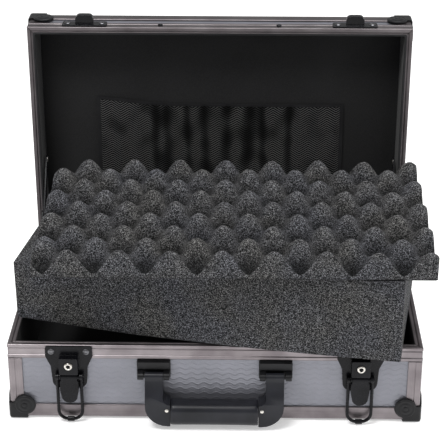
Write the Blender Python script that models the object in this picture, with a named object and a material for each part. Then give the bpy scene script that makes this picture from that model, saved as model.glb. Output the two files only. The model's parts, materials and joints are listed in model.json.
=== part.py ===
"""Hard equipment case with an aluminium frame, its lid open and its foam insert lifted out.

Everything is in metres, +X right, +Y to the back, +Z up. The base is built around the middle
of its own footprint. The lid is built closed and is opened about its hinge.
"""
import math

import bpy
from mathutils import Vector

MM = 0.001
GAP = 0.3 * MM                    # clearance between pieces that touch

# Case
HALF_WIDTH = 185 * MM             # frame, outside
HALF_DEPTH = 108.5 * MM
FOOT = 1.8 * MM                   # how far the corner caps stand proud of the frame
RIM_Z = 77 * MM                   # top of the base's rim
LID_RIM_Z = RIM_Z + 0.6 * MM      # closed lid's rim
LID_TOP_Z = LID_RIM_Z + 38.2 * MM
PANEL_INSET = 1.7 * MM            # panel's face behind the frame's face
PANEL_THICK = 5 * MM
FRAME_SKIN = 1.4 * MM
RIM_BAND = 14 * MM                # height of a rim extrusion
RIM_WIDTH = 7 * MM                # width of a rim's flat top
RIM_TOP_THICK = 6 * MM
EDGE_BAND = 13 * MM
POST_WIDTH = 12.5 * MM
LID_SKIN = 3 * MM                 # lid's top panel
FLOOR_THICK = 3 * MM
PAD_THICK = 1.5 * MM

# Corner caps
LOBE_CENTRE = 13 * MM
CAP_SQUARE = 15 * MM
CAP_ROUNDING = 2.8 * MM
LOBE_RADIUS = 10 * MM

# Hinge and stays
HINGE = Vector((0, HALF_DEPTH + 4 * MM, 78 * MM))
LID_OPEN = math.radians(90)
KNUCKLE_RADIUS = 2.4 * MM
HINGE_PIN_RADIUS = 1.0 * MM
HINGE_HALF = 150 * MM
KNUCKLES = 6
STAY_LENGTH = 57 * MM
STAY_FOOT = Vector((0, 56.5 * MM, 65 * MM))
STAY_ANGLE = math.radians(52.1)   # direction of the straight stay when the lid is open
STAY_OUTER_X = 177.3 * MM
STAY_THICK = 1.6 * MM

# Handle
HANDLE_AXIS = Vector((0, -HALF_DEPTH - 7 * MM, 50 * MM))
BRACKET_X = 54.5 * MM
GRIP_HALF = 39.2 * MM
GRIP_LOW_Z = 4.5 * MM
GRIP_HEIGHT = 22 * MM
GRIP_BACK_Y = -HALF_DEPTH - 1 * MM
GRIP_DEPTH = 20 * MM

# Latches
LATCH_X = 130 * MM
LATCH_AXIS = Vector((0, -HALF_DEPTH - 5.5 * MM, 47.5 * MM))
LATCH_FACE_Y = -HALF_DEPTH - GAP
PLATE_THICK = 1.5 * MM
LOCK_Z = 60 * MM
LOCK_RADIUS = 3.6 * MM
BAIL_LENGTH = 44.2 * MM
BAIL_LEG_X = 10.7 * MM
WIRE_RADIUS = 1.5 * MM

# Foam, as it lies half out of the case
BLOCK_SIZE = Vector((350 * MM, 190 * MM, 78.5 * MM))
BLOCK_CENTRE = Vector((7 * MM, -12.4 * MM, 0))
BLOCK_YAW = math.radians(-9.5)
BLOCK_CURL = 9.5 * MM             # lift of the underside at its left end
BLOCK_SAG = 12 * MM               # drop of the top at its left end
BLOCK_CURL_PART = 0.7             # part of the length that curls and sags
EGG_SIZE = Vector((346 * MM, 195 * MM, 28 * MM))
EGG_CENTRE = Vector((17 * MM, -33.5 * MM, 0))
FOAM_REST_Z = RIM_Z + GAP


# ---------------------------------------------------------------- shape helpers

def material(name, colour, roughness, metallic):
    """A Principled material, made once for each piece."""
    made = bpy.data.materials.new(name)
    made.use_nodes = True
    shader = made.node_tree.nodes["Principled BSDF"]
    shader.inputs["Base Color"].default_value = (*colour, 1)
    shader.inputs["Roughness"].default_value = roughness
    shader.inputs["Metallic"].default_value = metallic
    return made


FINISHES = {
    "aluminium": ((0.42, 0.38, 0.38), 0.35, 0.9),
    "panel": ((0.29, 0.31, 0.36), 0.5, 0.4),
    "nickel": ((0.6, 0.58, 0.56), 0.25, 1.0),
    "black": ((0.02, 0.02, 0.024), 0.35, 0.3),
    "plastic": ((0.03, 0.03, 0.035), 0.45, 0.0),
    "lining": ((0.012, 0.012, 0.012), 0.9, 0.0),
    "mesh": ((0.015, 0.015, 0.015), 0.8, 0.0),
    "foam": ((0.065, 0.065, 0.07), 0.95, 0.0),
}


def solid(name, verts, faces, finish):
    """An object from points and faces, with its faces turned outwards."""
    mesh = bpy.data.meshes.new(name)
    mesh.from_pydata([tuple(v) for v in verts], [], faces)
    mesh.update()
    if signed_volume(mesh) < 0:
        mesh.flip_normals()
    made = bpy.data.objects.new(name, mesh)
    bpy.context.scene.collection.objects.link(made)
    mesh.materials.append(material(name, *FINISHES[finish]))
    return made


def signed_volume(mesh):
    """Volume inside the mesh, negative where its faces point inwards."""
    total = 0.0
    for face in mesh.polygons:
        points = [mesh.vertices[i].co for i in face.vertices]
        for b, c in zip(points[1:], points[2:]):
            total += points[0].dot(b.cross(c)) / 6
    return total


def end_faces(count):
    """Two end faces and the sides between them, for an outline of count points drawn twice."""
    faces = [tuple(range(count)), tuple(reversed(range(count, 2 * count)))]
    for i in range(count):
        j = (i + 1) % count
        faces.append((j, i, count + i, count + j))
    return faces


def prism(name, outline, axis, low, high, finish):
    """A flat outline pushed along an axis. The outline is (y, z), (x, z) or (x, y)."""
    place = {
        "X": lambda p, d: (d, p[0], p[1]),
        "Y": lambda p, d: (p[0], d, p[1]),
        "Z": lambda p, d: (p[0], p[1], d),
    }[axis]
    count = len(outline)
    verts = [place(p, low) for p in outline] + [place(p, high) for p in outline]
    return solid(name, verts, end_faces(count), finish)


def block(name, low, high, finish):
    """A box between two corners."""
    outline = [(low[0], low[1]), (high[0], low[1]), (high[0], high[1]), (low[0], high[1])]
    return prism(name, outline, "Z", low[2], high[2], finish)


def arc(centre, radius, start, end, steps):
    """Points along an arc, in degrees."""
    points = []
    for i in range(steps + 1):
        angle = math.radians(start + (end - start) * i / steps)
        points.append((centre[0] + radius * math.cos(angle), centre[1] + radius * math.sin(angle)))
    return points


def rod(name, axis, centre, radius, low, high, finish, sides=16):
    """A round bar along an axis; the centre is given in the outline's two directions."""
    return prism(name, arc(centre, radius, 0, 360, sides)[:-1], axis, low, high, finish)


def rounded(low, high, radius, steps=3):
    """A rectangle's outline with round corners."""
    corners = [
        ((high[0] - radius, high[1] - radius), 0),
        ((low[0] + radius, high[1] - radius), 90),
        ((low[0] + radius, low[1] + radius), 180),
        ((high[0] - radius, low[1] + radius), 270),
    ]
    points = []
    for centre, start in corners:
        points += arc(centre, radius, start, start + 90, steps)
    return points


def sort_round(outline):
    """The same points in order round their middle, without doubles."""
    middle = [sum(p[i] for p in outline) / len(outline) for i in (0, 1)]
    unique = {(round(x, 7), round(y, 7)) for x, y in outline}
    return sorted(unique, key=lambda p: math.atan2(p[1] - middle[1], p[0] - middle[0]))


def combine(target, operation, pieces):
    """Adds or cuts pieces with Booleans, and keeps the pieces as hidden guides."""
    for piece in pieces:
        piece.hide_render = True
        piece.display_type = "WIRE"
        piece.parent = target
        cut = target.modifiers.new(piece.name, "BOOLEAN")
        cut.operation = operation
        cut.object = piece
    return target


def join(target, *pieces):
    return combine(target, "UNION", pieces)


def cut(target, *pieces):
    return combine(target, "DIFFERENCE", pieces)


def pivot(name, place, turn=None):
    """An empty on a joint's axis."""
    empty = bpy.data.objects.new(name, None)
    empty.location = place
    if turn:
        empty.rotation_euler = turn
    bpy.context.scene.collection.objects.link(empty)
    return empty


def hang(pieces, empty):
    """Parents pieces, made in the frame of the closed case, to the empty on their joint."""
    for piece in pieces:
        piece.parent = empty
        piece.location = -empty.location


def sides():
    return [("left", -1), ("right", 1)]


def corners():
    return [
        ("front_left", -1, -1),
        ("front_right", 1, -1),
        ("back_left", -1, 1),
        ("back_right", 1, 1),
    ]


# ---------------------------------------------------------------- frame and panels

def mitred_bars(prefix, profile, finish):
    """Four bars round the case, mitred at the corners. The profile is (inset, z)."""
    mitre_gap = 0.75 * GAP
    bars = []
    for side, along_x, sign in [
        ("front", True, -1),
        ("back", True, 1),
        ("left", False, -1),
        ("right", False, 1),
    ]:
        half_long = HALF_WIDTH if along_x else HALF_DEPTH
        half_short = HALF_DEPTH if along_x else HALF_WIDTH
        verts = []
        for end in (-1, 1):
            for inset, z in profile:
                along = end * (half_long - inset - mitre_gap)
                across = sign * (half_short - inset)
                verts.append((along, across, z) if along_x else (across, along, z))
        bars.append(solid(f"{prefix}_{side}", verts, end_faces(len(profile)), finish))
    return bars


def rim_profile(rim_z, up):
    """Rim extrusion: a bead, a groove, a flat band and a second bead, with a groove in its rim face."""
    outside = [
        (0.6, 0.0),
        (0.0, 0.6),
        (0.0, 3.0),
        (0.9, 3.4),
        (0.9, 4.0),
        (0.4, 4.3),
        (0.4, 9.9),
        (0.8, 10.2),
        (0.0, 10.8),
        (0.0, 13.3),
        (0.5, 14.0),
    ]
    inside = [
        (FRAME_SKIN, RIM_BAND),
        (FRAME_SKIN, RIM_TOP_THICK),
        (RIM_WIDTH, RIM_TOP_THICK),
        (RIM_WIDTH, 0.0),
        (4.7 * MM, 0.0),
        (4.5 * MM, 1.1 * MM),
        (3.6 * MM, 1.1 * MM),
        (3.4 * MM, 0.0),
    ]
    points = [(inset * MM, depth * MM) for inset, depth in outside] + inside
    return [(inset, rim_z - up * depth) for inset, depth in points]


def edge_profile(face_z, up):
    """Angle extrusion along the outer edges: one leg on the wall, one on the flat side."""
    points = [
        (0.5 * MM, EDGE_BAND),
        (0.0, EDGE_BAND - 0.5 * MM),
        (0.0, 1.2 * MM),
        (1.2 * MM, 0.0),
        (EDGE_BAND, 0.0),
        (EDGE_BAND, FRAME_SKIN),
        (FRAME_SKIN, FRAME_SKIN),
        (FRAME_SKIN, EDGE_BAND),
    ]
    return [(inset, face_z + up * height) for inset, height in points]


def corner_post(name, side_x, side_y, low, high, shrink, finish):
    """Angle extrusion round an upright corner, with a groove down each leg."""
    leg = [
        (1.0, 0.0),
        (5.6, 0.0),
        (5.9, 0.5),
        (6.5, 0.5),
        (6.8, 0.2),
        (12.5, 0.2),
    ]
    leg = [(along * MM, inset * MM + shrink) for along, inset in leg]
    skin = FRAME_SKIN - shrink
    outline = leg + [(POST_WIDTH, skin), (skin, skin), (skin, POST_WIDTH)]
    outline += [(inset, along) for along, inset in reversed(leg)]
    placed = [(side_x * (HALF_WIDTH - a), side_y * (HALF_DEPTH - b)) for a, b in outline]
    return prism(name, placed, "Z", low, high, finish)


def wall_panels(prefix, low, high):
    """Four wall panels; the side walls run past the ends of the front and back ones."""
    outer_x = HALF_WIDTH - PANEL_INSET
    outer_y = HALF_DEPTH - PANEL_INSET
    inner_x = outer_x - PANEL_THICK
    inner_y = outer_y - PANEL_THICK
    made = []
    for side, sign in [("front", -1), ("back", 1)]:
        ends = sorted((sign * inner_y, sign * outer_y))
        low_corner = (-inner_x + GAP, ends[0], low)
        high_corner = (inner_x - GAP, ends[1], high)
        made.append(block(f"{prefix}_{side}", low_corner, high_corner, "panel"))
    for side, sign in sides():
        ends = sorted((sign * inner_x, sign * outer_x))
        made.append(block(f"{prefix}_{side}", (ends[0], -outer_y, low), (ends[1], outer_y, high), "panel"))
    return made


def flat_panel(name, low, high):
    """Top or bottom panel, lying between the walls."""
    half_x = HALF_WIDTH - PANEL_INSET - PANEL_THICK - GAP
    half_y = HALF_DEPTH - PANEL_INSET - PANEL_THICK - GAP
    return block(name, (-half_x, -half_y, low), (half_x, half_y, high), "panel")


def cap_outline():
    """Corner cap on one face: a square part at the corner, and a round lobe round its rivet."""
    lobe = arc((LOBE_CENTRE, LOBE_CENTRE), LOBE_RADIUS, -78, 168, 11)
    return [(-FOOT, -FOOT), (CAP_SQUARE, -FOOT)] + lobe + [(-FOOT, CAP_SQUARE)]


def cap_rounding(name, side_x, side_y, face_z, up):
    """Guide whose rounded corner the cap's outer edges are trimmed to."""
    reach = 40 * MM
    spans = []
    for side, edge in ((side_x, HALF_WIDTH), (side_y, HALF_DEPTH)):
        spans.append(sorted((side * (edge + FOOT), side * (edge + FOOT - reach))))
    spans.append(sorted((face_z - up * FOOT, face_z + up * (reach - FOOT))))
    low, high = zip(*spans)
    guide = block(name, low, high, "plastic")
    soften = guide.modifiers.new("rounding", "BEVEL")
    soften.width = CAP_ROUNDING
    soften.segments = 3
    return guide


def corner_cap(name, side_x, side_y, face_z, up):
    """Black cap over a corner's three faces, just outside the frame."""
    outline = cap_outline()
    layer = sorted((-FOOT, -GAP))
    on_front = [(side_x * (HALF_WIDTH - a), face_z + up * b) for a, b in outline]
    on_side = [(side_y * (HALF_DEPTH - a), face_z + up * b) for a, b in outline]
    on_flat = [(side_x * (HALF_WIDTH - a), side_y * (HALF_DEPTH - b)) for a, b in outline]
    front_y = sorted(side_y * (HALF_DEPTH - d) for d in layer)
    side_x_range = sorted(side_x * (HALF_WIDTH - d) for d in layer)
    flat_z = sorted(face_z + up * d for d in layer)
    cap = prism(name, on_front, "Y", *front_y, "plastic")
    join(
        cap,
        prism(f"{name}_side_guide", on_side, "X", *side_x_range, "plastic"),
        prism(f"{name}_flat_guide", on_flat, "Z", *flat_z, "plastic"),
    )
    rounding = cap_rounding(f"{name}_rounding_guide", side_x, side_y, face_z, up)
    return combine(cap, "INTERSECT", [rounding])


def build_base():
    mitred_bars("base_rim", rim_profile(RIM_Z, 1), "aluminium")
    mitred_bars("base_edge", edge_profile(FOOT, 1), "aluminium")
    post_low = FOOT + EDGE_BAND + GAP
    post_high = RIM_Z - RIM_BAND - GAP
    for corner, side_x, side_y in corners():
        corner_post(f"base_post_{corner}", side_x, side_y, post_low, post_high, 0, "aluminium")
        corner_cap(f"base_cap_{corner}", side_x, side_y, FOOT, 1)
    panel_low = FOOT + PANEL_INSET
    wall_panels("base_panel", panel_low, RIM_Z - RIM_TOP_THICK - GAP)
    flat_panel("base_panel_bottom", panel_low, panel_low + FLOOR_THICK)
    pad_low = panel_low + FLOOR_THICK + GAP
    pad_x = HALF_WIDTH - 7.5 * MM
    pad_y = HALF_DEPTH - 7.5 * MM
    block("base_floor_pad", (-pad_x, -pad_y, pad_low), (pad_x, pad_y, pad_low + PAD_THICK), "lining")


# ---------------------------------------------------------------- lid

def ring(name, profile, finish):
    """A profile swept round all four sides of the case as one piece."""
    count = len(profile)
    verts = []
    for side_x, side_y in [(-1, -1), (1, -1), (1, 1), (-1, 1)]:
        for inset, z in profile:
            verts.append((side_x * (HALF_WIDTH - inset), side_y * (HALF_DEPTH - inset), z))
    faces = []
    for corner in range(4):
        here = corner * count
        there = (corner + 1) % 4 * count
        for i in range(count):
            j = (i + 1) % count
            faces.append((here + i, here + j, there + j, there + i))
    return solid(name, verts, faces, finish)


def lid_frame():
    """The lid's edge extrusions and its short corner posts, welded into one frame."""
    frame = ring("lid_top_frame", edge_profile(LID_TOP_Z, -1), "aluminium")
    low = LID_RIM_Z + RIM_BAND + GAP
    high = LID_TOP_Z - EDGE_BAND + 3 * MM
    posts = []
    for corner, side_x, side_y in corners():
        name = f"lid_post_{corner}_guide"
        posts.append(corner_post(name, side_x, side_y, low, high, 0.15 * MM, "aluminium"))
    return join(frame, *posts)


def mesh_pocket():
    """Shallow elastic pocket on the lid's inner face, open towards the lid's front edge."""
    half_width = 126 * MM
    bottom_y = HALF_DEPTH - 12 * MM
    mouth_y = -21 * MM
    thick = 1.2 * MM
    panel_z = LID_TOP_Z - PANEL_INSET - LID_SKIN
    face_z = panel_z - 6.7 * MM
    top_z = panel_z - GAP
    pocket = block(
        "mesh_pocket", (-half_width, mouth_y, face_z), (half_width, bottom_y, face_z + thick), "mesh"
    )
    guides = [
        block(
            "pocket_bottom_guide",
            (-half_width, bottom_y - thick, face_z + 0.2 * thick),
            (half_width, bottom_y, top_z),
            "mesh",
        )
    ]
    for side, sign in sides():
        ends = sorted((sign * half_width, sign * (half_width - thick)))
        guides.append(
            block(
                f"pocket_{side}_guide",
                (ends[0], mouth_y, face_z + 0.2 * thick),
                (ends[1], bottom_y - 0.5 * thick, top_z),
                "mesh",
            )
        )
    return join(pocket, *guides)


def striker(side, sign):
    """Plate on the lid's front with the hook that the latch's wire loop catches."""
    x = sign * LATCH_X
    plate_low = LID_RIM_Z + 1 * MM
    plate = rounded((x - 21.5 * MM, plate_low), (x + 21.5 * MM, plate_low + 12.4 * MM), 2 * MM)
    face_y = LATCH_FACE_Y - PLATE_THICK
    hook_half = 8.7 * MM
    hook_front = face_y - 8.6 * MM
    dome = rounded((x - hook_half, hook_front), (x + hook_half, face_y + 5 * MM), 4.5 * MM, 4)
    dome = [(px, min(py, face_y + 0.5 * MM)) for px, py in dome if py < face_y + MM]
    dome += [(x - hook_half, face_y + 0.5 * MM), (x + hook_half, face_y + 0.5 * MM)]
    lip = rounded((x - hook_half, hook_front), (x + hook_half, hook_front + 9 * MM), 4.5 * MM, 4)
    lip = [point for point in lip if point[1] < hook_front + 3.2 * MM]
    strike = prism(f"strike_{side}", plate, "Y", face_y, LATCH_FACE_Y, "black")
    return join(
        strike,
        prism(f"strike_{side}_hook_guide", sort_round(dome), "Z", 82.4 * MM, 87 * MM, "black"),
        prism(f"strike_{side}_lip_guide", sort_round(lip), "Z", 86.5 * MM, 89.4 * MM, "black"),
    )


def hinge_leaf(name, base_side):
    """One leaf of the long hinge, with every other knuckle. The base's leaf holds the pin."""
    leaf_y = (HALF_DEPTH + GAP, HALF_DEPTH + GAP + 1.4 * MM)
    leaf_z = (61 * MM, 77 * MM) if base_side else (79 * MM, 95 * MM)
    web_z = (75.8 * MM, 77.2 * MM) if base_side else (78.8 * MM, 80.2 * MM)
    axis = (HINGE.y, HINGE.z)
    leaf = block(
        name, (-HINGE_HALF, leaf_y[0], leaf_z[0]), (HINGE_HALF, leaf_y[1], leaf_z[1]), "nickel"
    )
    step = 2 * HINGE_HALF / KNUCKLES
    first = 0 if base_side else 1
    added = []
    for i in range(first, KNUCKLES, 2):
        low = -HINGE_HALF + i * step + GAP / 2
        high = low + step - GAP
        web_name = f"{name}_web_{i}_guide"
        added.append(
            block(web_name, (low, leaf_y[0] + GAP, web_z[0]), (high, HINGE.y - 0.6 * MM, web_z[1]), "nickel")
        )
        added.append(rod(f"{name}_knuckle_{i}_guide", "X", axis, KNUCKLE_RADIUS, low, high, "nickel", 12))
    end = HINGE_HALF - GAP
    if base_side:
        pin = rod(f"{name}_pin_guide", "X", axis, HINGE_PIN_RADIUS, -end, end, "nickel", 12)
        return join(leaf, *added, pin)
    join(leaf, *added)
    bore_radius = HINGE_PIN_RADIUS + GAP
    bore = rod(f"{name}_bore_guide", "X", axis, bore_radius, -HINGE_HALF - MM, HINGE_HALF + MM, "nickel", 12)
    return cut(leaf, bore)


def build_lid():
    pieces = mitred_bars("lid_rim", rim_profile(LID_RIM_Z, -1), "aluminium")
    pieces.append(lid_frame())
    wall_low = LID_RIM_Z + RIM_TOP_THICK + GAP
    panel_top = LID_TOP_Z - PANEL_INSET
    pieces += wall_panels("lid_panel", wall_low, panel_top)
    pieces.append(flat_panel("lid_panel_top", panel_top - LID_SKIN, panel_top))
    for corner, side_x, side_y in corners():
        pieces.append(corner_cap(f"lid_cap_{corner}", side_x, side_y, LID_TOP_Z, -1))
    pieces.append(mesh_pocket())
    for side, sign in sides():
        pieces.append(striker(side, sign))
    pieces.append(hinge_leaf("hinge_lid_leaf", False))
    hang(pieces, pivot("lid_pivot", HINGE, (-LID_OPEN, 0, 0)))
    hinge_leaf("hinge_base_leaf", True)


def stay_link(name, start, angle, inner_x, rivet_reach, sign):
    """A flat link with round ends, from a pivot along an angle, and a rivet head at its start."""
    outer_x = inner_x + STAY_THICK
    half = 4 * MM
    along = Vector((math.cos(angle), math.sin(angle)))
    low = Vector((start.y, start.z))
    high = low + along * STAY_LENGTH
    heading = math.degrees(angle)
    outline = arc(low, half, heading + 90, heading + 270, 6) + arc(high, half, heading - 90, heading + 90, 6)
    link = prism(name, outline, "X", *sorted((sign * inner_x, sign * outer_x)), "black")
    if not rivet_reach:
        return link
    rivet_range = sorted((sign * (outer_x - 0.5 * MM), sign * (outer_x + rivet_reach)))
    rivet = rod(f"{name}_rivet_guide", "X", low, 3 * MM, *rivet_range, "black", 12)
    return join(link, rivet)


def build_stays():
    """Two-link lid stays. The upper link's far end lies at its pivot on the lid's side wall."""
    for side, sign in sides():
        lower_x = STAY_OUTER_X - STAY_THICK
        upper_x = lower_x - GAP - STAY_THICK
        along = Vector((0, math.cos(STAY_ANGLE), math.sin(STAY_ANGLE)))
        elbow = STAY_FOOT + along * STAY_LENGTH
        lower = stay_link(f"stay_lower_{side}", STAY_FOOT, STAY_ANGLE, lower_x, 0.7 * MM, sign)
        upper = stay_link(f"stay_upper_{side}", elbow, STAY_ANGLE, upper_x, 0, sign)
        foot_pivot = pivot(f"stay_foot_pivot_{side}", STAY_FOOT)
        elbow_pivot = pivot(f"stay_elbow_pivot_{side}", elbow)
        hang([lower], foot_pivot)
        hang([upper], elbow_pivot)


# ---------------------------------------------------------------- handle

def handle_bracket(side, sign):
    """Back plate with a raised frame, two ears and the pin that the handle's arm turns on."""
    x = sign * BRACKET_X
    axis = (HANDLE_AXIS.y, HANDLE_AXIS.z)
    plate = rounded((x - 15 * MM, 44.5 * MM), (x + 15 * MM, 62.6 * MM), 1.5 * MM)
    back_y = -HALF_DEPTH + PANEL_INSET - GAP
    plate_y = (back_y - 2.5 * MM, back_y)
    bracket = prism(f"handle_bracket_{side}", plate, "Y", *plate_y, "plastic")
    ear = arc(axis, 3.6 * MM, 90, 270, 8)
    ear += [(back_y - 1.2 * MM, axis[1] - 3.6 * MM), (back_y - 1.2 * MM, axis[1] + 3.6 * MM)]
    added = []
    for edge, ear_sign in sides():
        ends = sorted((x + ear_sign * 9 * MM, x + ear_sign * 14.2 * MM))
        added.append(prism(f"bracket_{side}_{edge}_ear_guide", ear, "X", *ends, "plastic"))
    frame_low = (x - 14.2 * MM, back_y - 5 * MM, 55 * MM)
    frame_high = (x + 14.2 * MM, back_y - 1 * MM, 61.8 * MM)
    added.append(block(f"bracket_{side}_frame_guide", frame_low, frame_high, "plastic"))
    pin = rod(f"bracket_{side}_pin_guide", "X", axis, 2 * MM, x - 11 * MM, x + 11 * MM, "nickel")
    return join(bracket, *added, pin)


def handle_arm(side, sign):
    """Curved arm from the bracket's pin to the end of the grip, with a bore for the pin."""
    grip_top = GRIP_LOW_Z + GRIP_HEIGHT
    inner = BRACKET_X - 8.5 * MM
    outer = BRACKET_X + 8.5 * MM - 1 * MM
    end = GRIP_HALF + GAP
    low_turn = arc((outer - 20 * MM, GRIP_LOW_Z + 20 * MM), 20 * MM, 0, -90, 7)
    inside_turn = arc((inner - 6 * MM, grip_top + 6 * MM), 6 * MM, -90, 0, 4)
    top = HANDLE_AXIS.z + 5 * MM
    outline = [(outer, top)] + low_turn
    outline += [(end, GRIP_LOW_Z), (end, grip_top)] + inside_turn[1:] + [(inner, top)]
    placed = [(sign * x, z) for x, z in outline]
    arm_y = (GRIP_BACK_Y - GRIP_DEPTH + 2.5 * MM, GRIP_BACK_Y - 1 * MM)
    arm = prism(f"handle_arm_{side}", placed, "Y", *arm_y, "plastic")
    axis = (HANDLE_AXIS.y, HANDLE_AXIS.z)
    bore_x = sorted((sign * (inner - MM), sign * (outer + MM)))
    bore = rod(f"handle_arm_{side}_bore_guide", "X", axis, 2.3 * MM, *bore_x, "plastic")
    shoulder = handle_shoulder(side, sign, inner, outer)
    return cut(arm, shoulder, bore)


def handle_shoulder(side, sign, inner, outer):
    """Cutter that thins the arm's upper part to a round-topped strap about its pin."""
    axis = (HANDLE_AXIS.y, HANDLE_AXIS.z)
    strap = arc(axis, 3.8 * MM, 0, 180, 8)
    front = GRIP_BACK_Y - GRIP_DEPTH
    far = 60 * MM
    outline = strap + [(axis[0] - 3.8 * MM, 46 * MM), (axis[0] - 8 * MM, 35 * MM)]
    outline += [(front, 22 * MM), (front - 2 * MM, 22 * MM)]
    outline += [(front - 2 * MM, far), (GRIP_BACK_Y + 2 * MM, far), (GRIP_BACK_Y + 2 * MM, axis[1])]
    reach = sorted((sign * (inner - 3 * MM), sign * (outer + 3 * MM)))
    return prism(f"handle_arm_{side}_shoulder_guide", outline, "X", *reach, "plastic")


def build_handle():
    grip_y = (GRIP_BACK_Y - GRIP_DEPTH, GRIP_BACK_Y)
    grip = rounded((grip_y[0], GRIP_LOW_Z), (grip_y[1], GRIP_LOW_Z + GRIP_HEIGHT), 6 * MM, 4)
    moving = [prism("handle_grip", grip, "X", -GRIP_HALF, GRIP_HALF, "plastic")]
    for side, sign in sides():
        handle_bracket(side, sign)
        moving.append(handle_arm(side, sign))
    hang(moving, pivot("handle_pivot", HANDLE_AXIS))


# ---------------------------------------------------------------- latches

def latch_plate(side, x):
    """Shield-shaped plate with the lock's housing, two lugs and the pin they hold."""
    top = rounded((x - 21 * MM, 62 * MM), (x + 21 * MM, 76.4 * MM), 2.5 * MM)
    upper = [point for point in top if point[1] > 70 * MM]
    right = arc((x + 8 * MM, 41 * MM), 7.5 * MM, 0, -90, 5)
    left = arc((x - 8 * MM, 41 * MM), 7.5 * MM, -90, -180, 5)
    outline = upper + [(x - 21 * MM, 66 * MM), (x - 16.5 * MM, 56 * MM)]
    outline += list(reversed(left)) + list(reversed(right))
    outline += [(x + 16.5 * MM, 56 * MM), (x + 21 * MM, 66 * MM)]
    face_y = LATCH_FACE_Y - PLATE_THICK
    plate = prism(f"latch_plate_{side}", outline, "Y", face_y, LATCH_FACE_Y, "black")
    back_y = -HALF_DEPTH + PANEL_INSET - GAP
    spacer = block(
        f"latch_{side}_spacer_guide",
        (x - 13 * MM, face_y + 0.4 * MM, 37 * MM),
        (x + 13 * MM, back_y, 61 * MM),
        "black",
    )
    housing_outline = rounded((x - 8.4 * MM, 51 * MM), (x + 8.4 * MM, 67.5 * MM), 1.2 * MM)
    housing_y = (face_y - 7 * MM, face_y + 0.7 * MM)
    housing = prism(f"latch_{side}_housing_guide", housing_outline, "Y", *housing_y, "black")
    axis = (LATCH_AXIS.y, LATCH_AXIS.z)
    lug = arc(axis, 2.6 * MM, 90, 270, 6)
    lug += [(face_y + 0.7 * MM, axis[1] - 2.6 * MM), (face_y + 0.7 * MM, axis[1] + 2.6 * MM)]
    added = [spacer, housing]
    for edge, sign in sides():
        ends = sorted((x + sign * 7.6 * MM, x + sign * 8.9 * MM))
        added.append(prism(f"latch_{side}_{edge}_lug_guide", lug, "X", *ends, "black"))
    added.append(rod(f"latch_{side}_pin_guide", "X", axis, 1.2 * MM, x - 12.6 * MM, x + 12.6 * MM, "black", 12))
    join(plate, *added)
    bore_y = (housing_y[0] - MM, housing_y[0] + 5 * MM)
    bore_radius = LOCK_RADIUS + GAP
    bore = rod(f"latch_{side}_bore_guide", "Y", (x, LOCK_Z), bore_radius, *bore_y, "black", 24)
    return cut(plate, bore)


def latch_lever(side, x):
    """Tongue lever with a round end, turning on the plate's pin."""
    half = 7.25 * MM
    shoulder = 8.3 * MM
    tip = arc((x, 21.5 * MM + half), half, -180, 0, 8)
    top = LATCH_AXIS.z - 0.5 * MM
    outline = [(x + shoulder, top - 3.4 * MM), (x + half, top - 2.6 * MM), (x + half, top)]
    outline += [(x - half, top), (x - half, top - 2.6 * MM), (x - shoulder, top - 3.4 * MM)]
    outline += [(x - shoulder, top - 12 * MM)] + tip + [(x + shoulder, top - 12 * MM)]
    lever_y = (LATCH_AXIS.y - 2.4 * MM, LATCH_AXIS.y + 0.1 * MM)
    lever = prism(f"latch_lever_{side}", outline, "Y", *lever_y, "black")
    axis = (LATCH_AXIS.y, LATCH_AXIS.z)
    knuckle = rod(f"lever_{side}_knuckle_guide", "X", axis, 2.4 * MM, x - half, x + half, "black")
    join(lever, knuckle)
    bore = rod(f"lever_{side}_bore_guide", "X", axis, 1.5 * MM, x - 2 * half, x + 2 * half, "black", 12)
    return cut(lever, bore)


def latch_bail(side, x):
    """Wire loop: two legs with eyes on the pin, and a round-cornered bottom."""
    y, top = LATCH_AXIS.y, LATCH_AXIS.z
    bottom = top - BAIL_LENGTH
    bend = 8.5 * MM
    path = [(x - BAIL_LEG_X, top - 2.2 * MM)]
    path += arc((x - BAIL_LEG_X + bend, bottom + bend), bend, 180, 270, 5)
    path += arc((x + BAIL_LEG_X - bend, bottom + bend), bend, 270, 360, 5)
    path.append((x + BAIL_LEG_X, top - 2.2 * MM))
    curve = [Vector((px, y, pz)) for px, pz in path]
    bail = tube(f"latch_bail_{side}", curve, WIRE_RADIUS, 10, "black")
    axis = (y, top)
    eyes = []
    for edge, sign in sides():
        middle = x + sign * BAIL_LEG_X
        name = f"bail_{side}_{edge}_eye_guide"
        eyes.append(rod(name, "X", axis, 3.1 * MM, middle - 1.4 * MM, middle + 1.4 * MM, "black"))
    join(bail, *eyes)
    bore = rod(f"bail_{side}_bore_guide", "X", axis, 1.5 * MM, x - 14 * MM, x + 14 * MM, "black", 12)
    return cut(bail, bore)


def tube(name, path, radius, count, finish):
    """A round wire along a flat path that faces the front, with mitred rings at its bends."""
    verts = []
    for i, point in enumerate(path):
        before = (point - path[i - 1]).normalized() if i else (path[1] - point).normalized()
        after = (path[i + 1] - point).normalized() if i + 1 < len(path) else before
        along = (before + after).normalized()
        across = along.cross(Vector((0, 1, 0)))
        stretch = 1 / max(0.5, along.dot(before))
        for k in range(count):
            turn = 2 * math.pi * k / count
            offset = across * math.cos(turn) * stretch + Vector((0, 1, 0)) * math.sin(turn)
            verts.append(point + offset * radius)
    last = (len(path) - 1) * count
    faces = [tuple(range(count)), tuple(reversed(range(last, last + count)))]
    for ring_start in range(0, last, count):
        for k in range(count):
            j = (k + 1) % count
            here, there = ring_start, ring_start + count
            faces.append((here + j, here + k, there + k, there + j))
    return solid(name, verts, faces, finish)


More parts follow.
